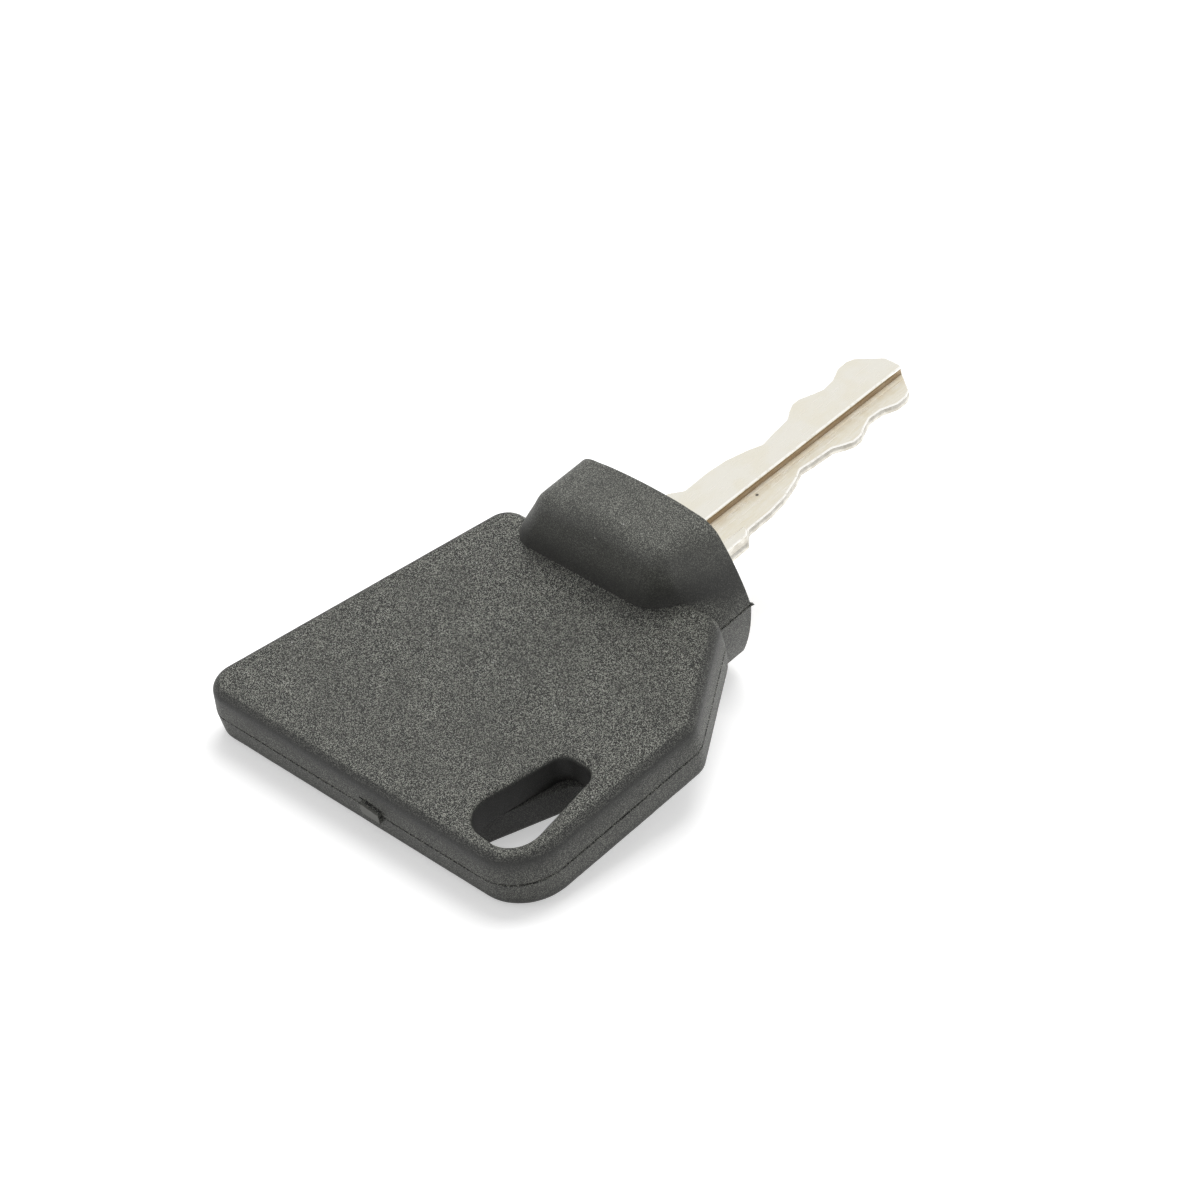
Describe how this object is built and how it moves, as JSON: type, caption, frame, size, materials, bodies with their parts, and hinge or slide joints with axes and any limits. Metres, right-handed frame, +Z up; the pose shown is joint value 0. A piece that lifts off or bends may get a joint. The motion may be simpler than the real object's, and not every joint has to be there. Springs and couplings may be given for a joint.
{
  "type": "ignition key",
  "caption": "Ignition key: moulded grip with a key-ring slot and a raised collar, on a double-sided flat blade with milled steps and wavy bitting.",
  "frame": {"origin": "on the surface that the key lies on, under the middle of its box", "axes": "+Y along the blade towards its tip, +X across the grip towards the key-ring slot, +Z up"},
  "size_m": [0.0388, 0.0638, 0.0169],
  "materials": {
    "black_plastic": "spark-eroded grain, black moulded plastic",
    "nickel_plate": "satin nickel plate, warm and lightly scratched"
  },
  "bodies": {
    "root": {"key_head": "black_plastic", "key_blade": "nickel_plate"}
  },
  "joints": []
}
